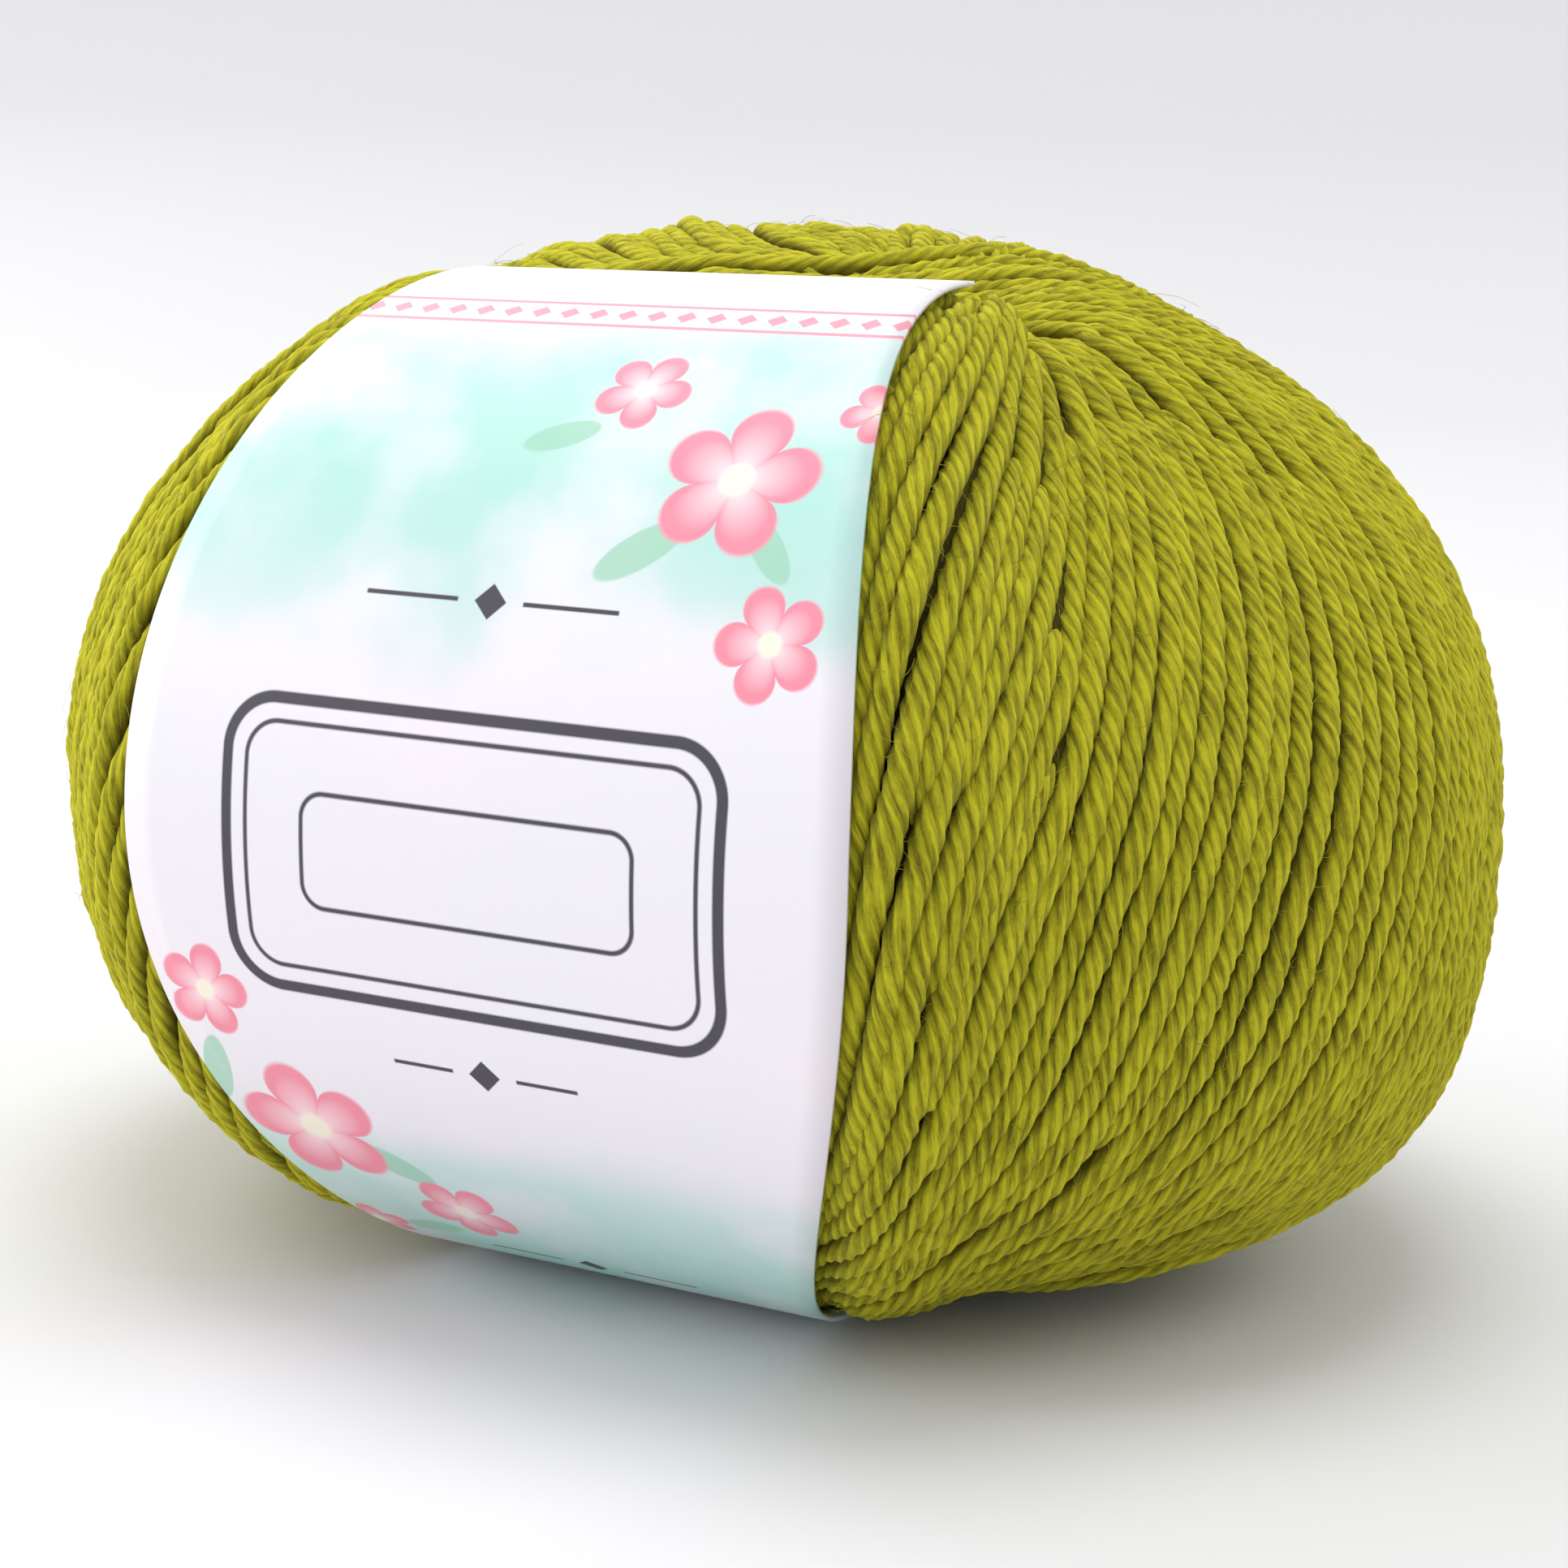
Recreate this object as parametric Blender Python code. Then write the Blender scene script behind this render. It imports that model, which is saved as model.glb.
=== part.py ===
"""A ball of lime green wool with a paper band threaded through its centre.

The yarn is wound round an upright axis, so every turn runs from the hole at the bottom to the hole at
the top. The band pulls both holes into one slot along X: it lies over the front of the ball, dives into
the slot at the top, runs down through the middle and comes out again underneath.

World axes: X along the slot, Y from front to back, Z up. The origin is on the surface that the ball
rests on, under the middle of the ball. Sizes below are in millimetres and angles in degrees.
"""

import math

import bmesh
import bpy
import numpy as np

MM = 0.001

# The wound ball
HALF_WIDTH = 46.6
HALF_DEPTH = 43.1
EQUATOR_HEIGHT = 29.3
TOP_RISE = 34.9
BOTTOM_DROP = 30.6
TOP_FULLNESS = 1.99
BOTTOM_FULLNESS = 2.65
PLAN_PINCH = 0.038
BELLY_SHIFT = 4.5
CROWN_SHIFT = (1.1, 4.6)
FORWARD = 2.12

# The slot that the band runs through
SLOT_HALF_LENGTH = 15.0
SLOT_HALF_WIDTH = 1.15
SLOT_CENTRE_X = 2.5
SLOT_CENTRE_Y = -10.5
SLOT_END_ROUND = 0.6
SLOT_LIP_ROUND = 0.2
THROAT_DEPTH = 15.0
THROAT_HALF_LENGTH = 13.9
THROAT_HALF_WIDTH = 0.9
DIMPLE_DEPTH = 3.0
DIMPLE_REACH = 0.17

# The winding
LEAN_TOP = 9.5
LEAN_MIDDLE = 12.7
LEAN_BOTTOM = 23.5
BUNDLES = 36
BUNDLE_HEIGHT = 0.85
BUNDLE_FADE = 0.35
BUNDLE_PROFILE = (0.0, 0.72, 1.0, 0.72)
WIND_ROWS = 32
UNEVEN_SEED = 7

# The paper band
PAPER = 1.0
CLEARANCE = 0.35
BAND_CENTRE_X = 3.2
BAND_CENTRE_Y = -12.9
BAND_CENTRE_Z = 30.0
BAND_HALF_DEPTH = 26.2
BAND_HALF_HEIGHT = 30.3
BAND_TUCK = 9.0
FRONT_WIDTH = 45.6
TOP_WIDTH = 33.0
BOTTOM_WIDTH = 25.0
STRAP_WIDTH = 23.5
EDGE_MARGIN = 2.0
EDGE_SOFTNESS = 7.0
ARC_STEPS = 44
TUCK_STEPS = 8
RUN_STEPS = 10
ACROSS_STEPS = 6


def clear_scene():
    for item in list(bpy.data.objects):
        bpy.data.objects.remove(item, do_unlink=True)


def material(name, colour, roughness):
    finish = bpy.data.materials.new(name)
    finish.use_nodes = True
    shader = finish.node_tree.nodes["Principled BSDF"]
    shader.inputs["Base Color"].default_value = (*colour, 1.0)
    shader.inputs["Roughness"].default_value = roughness
    shader.inputs["Metallic"].default_value = 0.0
    return finish


# ---------------------------------------------------------------- the band's path


def blend(start, end, share):
    return start + (end - start) * share


def front_arc(angle, end_width):
    """One (y, z, width) row on the band's front, at an angle up from its middle."""
    y = BAND_CENTRE_Y - BAND_HALF_DEPTH * math.cos(angle)
    z = BAND_CENTRE_Z + BAND_HALF_HEIGHT * math.sin(angle)
    return y, z, blend(FRONT_WIDTH, end_width, math.sin(angle) ** 2)


def band_section():
    """The band's outer face in the Y-Z plane, as (y, z, width) rows once round, from the front middle
    over the top, down through the slot and back underneath."""
    top = BAND_CENTRE_Z + BAND_HALF_HEIGHT
    bottom = BAND_CENTRE_Z - BAND_HALF_HEIGHT
    back = SLOT_CENTRE_Y + PAPER / 2
    quarter = ARC_STEPS // 2
    rows = [front_arc(math.pi / 2 * step / quarter, TOP_WIDTH) for step in range(quarter)]
    for step in range(TUCK_STEPS):
        angle = math.pi / 2 * step / TUCK_STEPS
        z = top - BAND_TUCK * (1 - math.cos(angle))
        width = blend(TOP_WIDTH, STRAP_WIDTH, math.sin(angle))
        rows.append((blend(BAND_CENTRE_Y, back, math.sin(angle)), z, width))
    for step in range(RUN_STEPS):
        z = blend(top - BAND_TUCK, bottom + BAND_TUCK, step / RUN_STEPS)
        rows.append((back, z, STRAP_WIDTH))
    for step in range(TUCK_STEPS):
        angle = math.pi / 2 * step / TUCK_STEPS
        z = bottom + BAND_TUCK * (1 - math.sin(angle))
        width = blend(BOTTOM_WIDTH, STRAP_WIDTH, math.cos(angle))
        rows.append((blend(BAND_CENTRE_Y, back, math.cos(angle)), z, width))
    for step in range(quarter):
        rows.append(front_arc(math.pi / 2 * (step / quarter - 1), BOTTOM_WIDTH))
    section = np.array(rows)
    section[:, 1] = np.maximum(section[:, 1], 0.0)
    return section


# ---------------------------------------------------------------- the wound form


def lean_of(along):
    """How far a turn leans, in radians: least at the top, most underneath."""
    rise = np.sin(along)
    bend = (LEAN_TOP + LEAN_BOTTOM) / 2 - LEAN_MIDDLE
    return np.radians(LEAN_MIDDLE + (LEAN_TOP - LEAN_BOTTOM) / 2 * rise + bend * rise ** 2)


def slot_outline(azimuth, half_length, half_width):
    """Points of the slot's outline: nearly straight lips with round ends."""
    x = np.sign(np.cos(azimuth)) * np.abs(np.cos(azimuth)) ** SLOT_END_ROUND
    y = np.sign(np.sin(azimuth)) * np.abs(np.sin(azimuth)) ** SLOT_LIP_ROUND
    return SLOT_CENTRE_X + half_length * x, SLOT_CENTRE_Y + half_width * y


def spread_of(x, y):
    """How far out a point lies, from nought at the middle to one on the ball's widest line, which is
    drawn in a little at its four corners."""
    side, depth = x / HALF_WIDTH, y / HALF_DEPTH
    far = np.hypot(side, depth) + 1e-9
    return np.clip(far / (1 - PLAN_PINCH * (2 * side * depth / far ** 2) ** 2), 0.0, 1.0)


def wound_form(node_angle, along):
    """Points of the smooth wound form, for turns that cross the equator at node_angle (radians), at the
    angle along (radians) of each turn, from -90 degrees at the bottom slot to 90 at the top one."""
    lean = lean_of(along)
    rise = np.cos(lean) * np.sin(along)
    azimuth = node_angle + np.arctan2(np.sin(lean) * np.sin(along), np.cos(along))
    upper = rise >= 0
    fullness = np.where(upper, TOP_FULLNESS, BOTTOM_FULLNESS)
    height = np.where(upper, TOP_RISE, BOTTOM_DROP)
    radius = (1 - np.abs(rise) ** fullness) ** (1 / fullness)
    end_rise = np.cos(np.radians(np.where(upper, LEAN_TOP, LEAN_BOTTOM)))
    rim = (1 - end_rise ** fullness) ** (1 / fullness)
    out = np.clip((radius - rim) / (1 - rim), 0.0, 1.0)
    slot_x, slot_y = slot_outline(azimuth, SLOT_HALF_LENGTH, SLOT_HALF_WIDTH)
    pinch = 1 - PLAN_PINCH * np.sin(2 * azimuth) ** 2
    x = blend(slot_x, HALF_WIDTH * np.cos(azimuth) * pinch, out)
    y = blend(slot_y, HALF_DEPTH * np.sin(azimuth) * pinch, out)
    spread = spread_of(x, y)
    z = height * (1 - spread ** fullness) ** (1 / fullness)
    z = z - DIMPLE_DEPTH * np.exp(-((out / DIMPLE_REACH) ** 2))
    share = np.clip(z / height, 0.0, 1.0) ** 2 * out
    x = x + np.where(upper, CROWN_SHIFT[0], BELLY_SHIFT) * share
    y = y + np.where(upper, CROWN_SHIFT[1], 0.0) * share
    points = np.stack([x, y, EQUATOR_HEIGHT + np.where(upper, z, -z)], -1)
    return points, azimuth, np.broadcast_to(out, x.shape)


def ease(share):
    share = np.clip(share, 0.0, 1.0)
    return share * share * (3 - 2 * share)


def add_bundles(points, out, rng):
    """Raises the winding's bundles along the turns, each a little higher or lower than its neighbours."""
    profile = np.tile(BUNDLE_PROFILE, BUNDLES)
    strength = np.repeat(rng.uniform(0.65, 1.25, BUNDLES), len(BUNDLE_PROFILE))
    sway = np.repeat(rng.uniform(-0.35, 0.35, BUNDLES), len(BUNDLE_PROFILE))
    middle = np.array([0.0, 0.0, EQUATOR_HEIGHT])
    run = np.linspace(0.0, math.pi, points.shape[1])
    for lane in range(points.shape[0]):
        arm = points[lane] - middle
        arm = arm / np.linalg.norm(arm, axis=1, keepdims=True)
        swell = 1.0 + sway[lane] * np.sin(2 * run)
        height = BUNDLE_HEIGHT * (profile[lane] * strength[lane] * swell - 0.6)
        height = height * ease(out[lane] / BUNDLE_FADE)
        points[lane] += arm * height[:, None]
    return points


def press_under_band(points, front):
    """Lays the front of the yarn against the band's inner face, and keeps the slot's lips clear of it."""
    section = band_section()
    outer = section[:, :2]
    ahead = np.roll(outer, -1, 0) - np.roll(outer, 1, 0)
    ahead = ahead / np.linalg.norm(ahead, axis=1, keepdims=True)
    outward = np.stack([-ahead[:, 1], ahead[:, 0]], -1)
    reach = PAPER + CLEARANCE
    inside = front.reshape(-1)
    for index, point in enumerate(points.reshape(-1, 3)):
        offset = point[1:] - outer
        nearest = int(np.argmin((offset ** 2).sum(1)))
        depth = -float(offset[nearest] @ outward[nearest])
        beyond = abs(point[0] - BAND_CENTRE_X) - section[nearest, 2] / 2 - EDGE_MARGIN
        hold = 1.0 - ease(beyond / EDGE_SOFTNESS)
        if inside[index]:
            point[1:] -= outward[nearest] * (reach - depth) * hold
        elif depth > -CLEARANCE:
            point[1:] += outward[nearest] * (depth + CLEARANCE) * hold
    return points


def yarn_ball():
    lanes = BUNDLES * len(BUNDLE_PROFILE)
    node_angle = np.linspace(0.0, 2 * math.pi, lanes, endpoint=False)[:, None]
    along = np.linspace(-math.pi / 2, math.pi / 2, WIND_ROWS + 1)[None, :]
    points, azimuth, out = wound_form(node_angle, along)
    points = add_bundles(points, out, np.random.default_rng(UNEVEN_SEED))
    points = press_under_band(points, np.sin(azimuth) < -0.02)
    points[:, :, 2] = np.maximum(points[:, :, 2], 0.0)

    shape = bmesh.new()
    grid = [[shape.verts.new(point * MM) for point in lane] for lane in points]
    for lane in range(lanes):
        here, there = grid[lane], grid[(lane + 1) % lanes]
        for row in range(WIND_ROWS):
            shape.faces.new((here[row], there[row], there[row + 1], here[row + 1]))

    # The slot's wall, between the two rims. A turn leaves the bottom rim half a circle away from where it
    # meets the top rim, so the wall joins each lane's top to the bottom of the lane half way round.
    half = lanes // 2
    rings = [[grid[lane][WIND_ROWS] for lane in range(lanes)]]
    throat_x, throat_y = slot_outline(azimuth[:, -1], THROAT_HALF_LENGTH, THROAT_HALF_WIDTH)
    top = EQUATOR_HEIGHT + TOP_RISE - THROAT_DEPTH
    for height in (top, EQUATOR_HEIGHT, EQUATOR_HEIGHT - BOTTOM_DROP + THROAT_DEPTH):
        places = zip(throat_x * MM, throat_y * MM)
        rings.append([shape.verts.new((x, y, height * MM)) for x, y in places])
    rings.append([grid[(lane + half) % lanes][0] for lane in range(lanes)])
    for upper, lower in zip(rings, rings[1:]):
        for lane in range(lanes):
            following = (lane + 1) % lanes
            shape.faces.new((upper[lane], upper[following], lower[following], lower[lane]))
    bmesh.ops.recalc_face_normals(shape, faces=shape.faces)
    return finish_object("yarn_ball", shape, material("lime_wool", (0.42, 0.40, 0.03), 0.95))


def paper_band():
    section = band_section()
    shape = bmesh.new()
    rows = []
    for y, z, width in section:
        row = []
        for step in range(ACROSS_STEPS + 1):
            x = BAND_CENTRE_X + width * (step / ACROSS_STEPS - 0.5)
            row.append(shape.verts.new((x * MM, y * MM, z * MM)))
        rows.append(row)
    for here, there in zip(rows, rows[1:] + rows[:1]):
        for step in range(ACROSS_STEPS):
            shape.faces.new((here[step], here[step + 1], there[step + 1], there[step]))
    band = finish_object("paper_band", shape, material("coated_paper", (0.89, 0.87, 0.92), 0.45))
    wall = band.modifiers.new("wall", "SOLIDIFY")
    wall.thickness = PAPER * MM
    wall.offset = -1.0
    wall.use_even_offset = True
    wall.use_rim = True
    return band


def finish_object(name, shape, finish):
    """Makes an object of a shape, moved forward so that the whole part is centred on the origin."""
    bmesh.ops.translate(shape, vec=(0.0, -FORWARD * MM, 0.0), verts=shape.verts)
    mesh = bpy.data.meshes.new(name)
    shape.to_mesh(mesh)
    shape.free()
    mesh.materials.append(finish)
    mesh.shade_smooth()
    mesh.set_sharp_from_angle(angle=math.radians(50))
    item = bpy.data.objects.new(name, mesh)
    bpy.context.scene.collection.objects.link(item)
    return item


clear_scene()
yarn_ball()
paper_band()
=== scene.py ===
"""A ball of lime green wool with a printed paper label threaded through its centre.

The yarn is laid turn by turn round an upright axis, as a ball winder lays it, and each turn shows only
where no later one covers it. The label lies on the front, dives into the slot at the top, runs down
through the middle and comes out underneath.

Lengths in the tables are in millimetres and angles in degrees. X runs along the slot, Y from front to
back, Z up.
"""

import math

import bmesh
import bpy
import numpy as np
from bpy.props import FloatProperty, FloatVectorProperty, IntProperty, PointerProperty
from mathutils import Matrix, Vector


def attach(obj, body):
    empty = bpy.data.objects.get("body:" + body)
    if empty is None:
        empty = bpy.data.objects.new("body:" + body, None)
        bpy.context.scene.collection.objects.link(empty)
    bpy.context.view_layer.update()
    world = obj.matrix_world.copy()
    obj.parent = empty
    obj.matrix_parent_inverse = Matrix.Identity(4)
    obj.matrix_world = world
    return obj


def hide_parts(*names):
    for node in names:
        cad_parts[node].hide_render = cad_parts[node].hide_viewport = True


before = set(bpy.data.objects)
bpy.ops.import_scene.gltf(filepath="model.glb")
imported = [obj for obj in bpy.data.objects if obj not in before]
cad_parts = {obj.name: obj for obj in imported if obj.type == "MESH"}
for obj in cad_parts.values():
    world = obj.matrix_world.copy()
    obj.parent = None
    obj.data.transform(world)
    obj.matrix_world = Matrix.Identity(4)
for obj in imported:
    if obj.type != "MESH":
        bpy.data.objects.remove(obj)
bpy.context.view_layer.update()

bl_info = {
    "name": "Wound Ball of Yarn",
    "version": (1, 0, 0),
    "blender": (4, 5, 0),
    "location": "View3D > Sidebar > Yarn",
    "description": "Lays a wound ball of yarn turn by turn, with its paper label",
    "category": "Add Mesh",
}

MM = 0.001

# The wound form, as in the solids
HALF_WIDTH = 46.6
HALF_DEPTH = 43.1
EQUATOR_HEIGHT = 29.3
TOP_RISE = 34.9
BOTTOM_DROP = 30.6
TOP_FULLNESS = 1.99
BOTTOM_FULLNESS = 2.65
PLAN_PINCH = 0.038
BELLY_SHIFT = 4.5
CROWN_SHIFT = (1.1, 4.6)
SLOT_HALF_LENGTH = 15.0
SLOT_HALF_WIDTH = 1.15
SLOT_CENTRE_X = 2.5
SLOT_CENTRE_Y = -10.5
SLOT_END_ROUND = 0.6
SLOT_LIP_ROUND = 0.2
DIMPLE_DEPTH = 3.0
DIMPLE_REACH = 0.17
LEAN_TOP = 9.5
LEAN_MIDDLE = 12.7
LEAN_BOTTOM = 23.5
FORWARD = 2.12

# The label's path, as in the solids
BAND_CENTRE_X = 3.2
BAND_CENTRE_Y = -12.9
BAND_CENTRE_Z = 30.0
BAND_HALF_DEPTH = 26.2
BAND_HALF_HEIGHT = 30.3
BAND_TUCK = 9.0
BAND_BACK = -10.0
FRONT_WIDTH = 45.6
TOP_WIDTH = 33.0
BOTTOM_WIDTH = 25.0
STRAP_WIDTH = 23.5
EDGE_MARGIN = 1.0
EDGE_SOFTNESS = 7.0

# How close the yarn lies to the label: at the slot's lips, and under the front
LIP_GAP = 0.15
LABEL_GAP = 0.05

# How far a turn wanders, in turns, and how uneven the turns' heights are
WANDER = 0.065
THREAD_HEIGHT = 0.09
# The room, in strands, above which a turn loosens and below which every other one sinks
LOOSE_FROM = 1.12
CROWDED_BELOW = 0.57
# How long a turn takes to dive under those that cross it, how far it runs on under the label, how deep
# the label's edge dents it, how high the last one lies, and the shortest stretch that is laid
DIVE_LENGTH = 6.0
HIDDEN_BY_LABEL = 3.0
EDGE_DENT = 0.55
LAST_LIFT = 0.35
SHORTEST_RUN = 4.0
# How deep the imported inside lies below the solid's surface
CORE_DEPTH = 1.45

# A strand's outline: its sides, every other one a valley between two plies, and how far out those lie
PROFILE_SIDES = 12
VALLEY_SHARE = 0.83
RUN_STEPS = 1080
PIECE_TRIANGLES = 180000

# Soft lumps of the winding: waves round the ball, waves along a turn, start, height in millimetres, and
# how far the turns gather, in turns.
LUMPS = (
    (5.0, 2.0, 0.4, 0.20, 0.30),
    (9.0, -3.0, 1.9, 0.12, 0.15),
    (14.0, 1.0, 4.1, 0.12, 0.09),
    (23.0, 2.0, 2.6, 0.10, 0.06),
    (37.0, -1.0, 0.9, 0.08, 0.05),
)

# The print. Washes: middle height, half height, strength. Blossoms and leaves: across, up, size, turn in
# degrees. Dividers: height, half length. Beads: height, spacing. Frames: half width, half height, corner
# radius, half the line's thickness.
WASHES = ((24.0, 12.0, 1.0), (17.0, 7.0, 0.5), (-24.0, 8.0, 0.7), (-34.0, 12.0, 1.0))
BLOSSOMS = (
    (12.5, 21.5, 4.9, 10), (17.0, 12.6, 3.3, 40), (4.6, 27.2, 3.0, 65), (-13.6, -19.5, 5.0, 30),
    (-18.4, -10.4, 3.1, 5), (-6.0, -26.0, 3.4, 50), (-14.5, -30.5, 2.4, 20), (19.0, 26.5, 2.3, 55),
)
LEAVES = (
    (8.2, 17.0, 3.0, 35), (15.6, 17.6, 2.4, -50), (1.0, 23.6, 2.4, 20), (-9.0, -21.8, 2.8, -30),
    (-19.2, -16.0, 2.6, 80), (-10.0, -29.6, 2.4, 15),
)
DIVIDERS = ((13.5, 8.0), (-13.0, 6.0), (-31.5, 7.0))
BEADS = (34.0, 1.9)
FRAMES = ((15.6, 8.2, 3.0, 0.34), (14.3, 6.9, 2.0, 0.14), (10.5, 3.2, 1.4, 0.14))
FRAME_CENTRE = (0.0, -1.0, 0.0)
LEAF_NARROWNESS = 0.38
BEAD_SIZE = 0.72
HAIRLINE_OFFSET = 1.25
LABEL_COLUMNS = 24

# The stage, in metres and watts: each lamp's place, width and power, the backdrop's profile as radius and
# height, and the fitted camera's lens.
LAMPS = {
    "left": ((-0.60, -0.44, 0.27), 0.5, 1.5),
    "low": ((-0.56, -0.12, 0.09), 0.4, 1.0),
    "right": ((0.664, 0.349, 0.60), 0.5, 1.4),
    "back": ((-0.68, 0.20, 0.6), 0.5, 2.1),
    "top": ((0.0, 0.0, 0.9), 0.5, 2.9),
}
LAMP_AIM = Vector((0.0, 0.0, 0.03))
SOFT_BOX_STRENGTH = 0.85
BACKDROP = ((0.0, 0.0), (0.3, 0.0), (0.6, 0.02), (0.9, 0.10), (1.15, 0.28), (1.3, 0.55), (1.35, 0.9))
LENS = 69.88
LENS_SHIFT = (0.0130, -0.0158)
CAMERA_ROLL = math.radians(1.37)


def linear(code):
    """The linear colour of an sRGB hex value."""
    parts = [int(code[place:place + 2], 16) / 255 for place in (1, 3, 5)]
    return [part / 12.92 if part <= 0.04045 else ((part + 0.055) / 1.055) ** 2.4 for part in parts]


def blend(start, end, share):
    return start + (end - start) * share


def ease(share):
    share = np.clip(share, 0.0, 1.0)
    return share * share * (3 - 2 * share)


# ---------------------------------------------------------------- settings


class YarnSettings(bpy.types.PropertyGroup):
    """What the yarn is like and how it is wound"""

    strand: FloatProperty(
        name="Strand", description="Thickness of the yarn", default=1.74 * MM, unit="LENGTH"
    )
    turns: IntProperty(name="Turns", description="Turns in the outer layer", default=164, min=24)
    twist: FloatProperty(
        name="Twist", description="Length of one twist of the plies", default=8.4 * MM, unit="LENGTH"
    )
    last_turn: FloatProperty(
        name="Last turn", description="Where the last turn crosses the ball's widest line",
        default=math.radians(35.0), subtype="ANGLE",
    )
    ring: FloatProperty(
        name="Ring spacing", description="Distance between a strand's rings of points",
        default=0.55 * MM, unit="LENGTH",
    )
    crest: FloatVectorProperty(
        name="Crest colour", description="Colour on the crests of the plies",
        subtype="COLOR", size=3, default=linear("#C9C42A"),
    )
    # Painted shade: the valley colour is the wool drawn darker between the plies, where shade falls. It is
    # also the dark end of the fibres' random tone.
    valley: FloatVectorProperty(
        name="Valley colour", description="Colour between the plies",
        subtype="COLOR", size=3, default=linear("#676211"),
    )
    hairs: IntProperty(name="Hairs", description="Stray fibres on the surface", default=8600, min=0)


class LabelSettings(bpy.types.PropertyGroup):
    """The paper label and its print"""

    paper: FloatProperty(
        name="Paper", description="Thickness of the paper", default=0.3 * MM, unit="LENGTH"
    )
    ground: FloatVectorProperty(
        name="Paper colour", description="Colour of the bare paper",
        subtype="COLOR", size=3, default=linear("#ECE9EF"),
    )
    wash: FloatVectorProperty(
        name="Wash", description="Colour of the watercolour wash",
        subtype="COLOR", size=3, default=linear("#B2DFD6"),
    )
    petal: FloatVectorProperty(
        name="Petal", description="Colour of the blossoms",
        subtype="COLOR", size=3, default=linear("#F28FA3"),
    )
    ink: FloatVectorProperty(
        name="Ink", description="Colour of the ruled lines",
        subtype="COLOR", size=3, default=linear("#45424A"),
    )


class StageSettings(bpy.types.PropertyGroup):
    """The floor, the lights and the camera"""

    floor: FloatVectorProperty(
        name="Floor", description="Colour of the floor",
        subtype="COLOR", size=3, default=linear("#DCDCDE"),
    )
    distance: FloatProperty(
        name="Camera distance", description="From the camera to the ball's middle",
        default=0.196, unit="LENGTH",
    )
    azimuth: FloatProperty(
        name="Azimuth", description="How far the camera stands round to the right",
        default=math.radians(28.5), subtype="ANGLE",
    )
    elevation: FloatProperty(
        name="Elevation", description="How high the camera looks from",
        default=math.radians(9.75), subtype="ANGLE",
    )


# ---------------------------------------------------------------- the label's path


def front_arc(angle, end_width):
    """(y, z, width) on the label's front, at an angle up from its middle."""
    y = BAND_CENTRE_Y - BAND_HALF_DEPTH * math.cos(angle)
    z = BAND_CENTRE_Z + BAND_HALF_HEIGHT * math.sin(angle)
    return y, z, blend(FRONT_WIDTH, end_width, math.sin(angle) ** 2)


def band_section(quarter=88, tuck=30, run=20):
    """The label's outer face in the Y-Z plane, as (y, z, width) rows once round, from the front middle
    over the top, down through the slot and back underneath."""
    top = BAND_CENTRE_Z + BAND_HALF_HEIGHT
    bottom = BAND_CENTRE_Z - BAND_HALF_HEIGHT
    rows = [front_arc(math.pi / 2 * step / quarter, TOP_WIDTH) for step in range(quarter)]
    for step in range(tuck):
        angle = math.pi / 2 * step / tuck
        z = top - BAND_TUCK * (1 - math.cos(angle))
        width = blend(TOP_WIDTH, STRAP_WIDTH, math.sin(angle))
        rows.append((blend(BAND_CENTRE_Y, BAND_BACK, math.sin(angle)), z, width))
    for step in range(run):
        rows.append((BAND_BACK, blend(top - BAND_TUCK, bottom + BAND_TUCK, step / run), STRAP_WIDTH))
    for step in range(tuck):
        angle = math.pi / 2 * step / tuck
        z = bottom + BAND_TUCK * (1 - math.sin(angle))
        width = blend(BOTTOM_WIDTH, STRAP_WIDTH, math.cos(angle))
        rows.append((blend(BAND_CENTRE_Y, BAND_BACK, math.cos(angle)), z, width))
    for step in range(quarter):
        rows.append(front_arc(math.pi / 2 * (step / quarter - 1), BOTTOM_WIDTH))
    section = np.array(rows)
    section[:, 1] = np.maximum(section[:, 1], 0.0)
    return section


# ---------------------------------------------------------------- the wound form


def lean_of(along):
    """How far a turn leans, in radians: least at the top, most underneath."""
    rise = np.sin(along)
    bend = (LEAN_TOP + LEAN_BOTTOM) / 2 - LEAN_MIDDLE
    return np.radians(LEAN_MIDDLE + (LEAN_TOP - LEAN_BOTTOM) / 2 * rise + bend * rise ** 2)


def swing_of(along):
    """How far round a turn has gone, in radians, from where it crosses the widest line on its way up."""
    lean = lean_of(along)
    swing = np.arctan2(np.sin(lean) * np.sin(along), np.cos(along))
    return np.where(along > math.pi / 2, np.mod(swing, 2 * math.pi), swing)


def spread_of(x, y):
    """How far out a point lies, from nought at the middle to one on the ball's widest line, which is
    drawn in a little at its four corners."""
    side, depth = x / HALF_WIDTH, y / HALF_DEPTH
    far = np.hypot(side, depth) + 1e-9
    return np.clip(far / (1 - PLAN_PINCH * (2 * side * depth / far ** 2) ** 2), 1e-3, 1.0)


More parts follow.
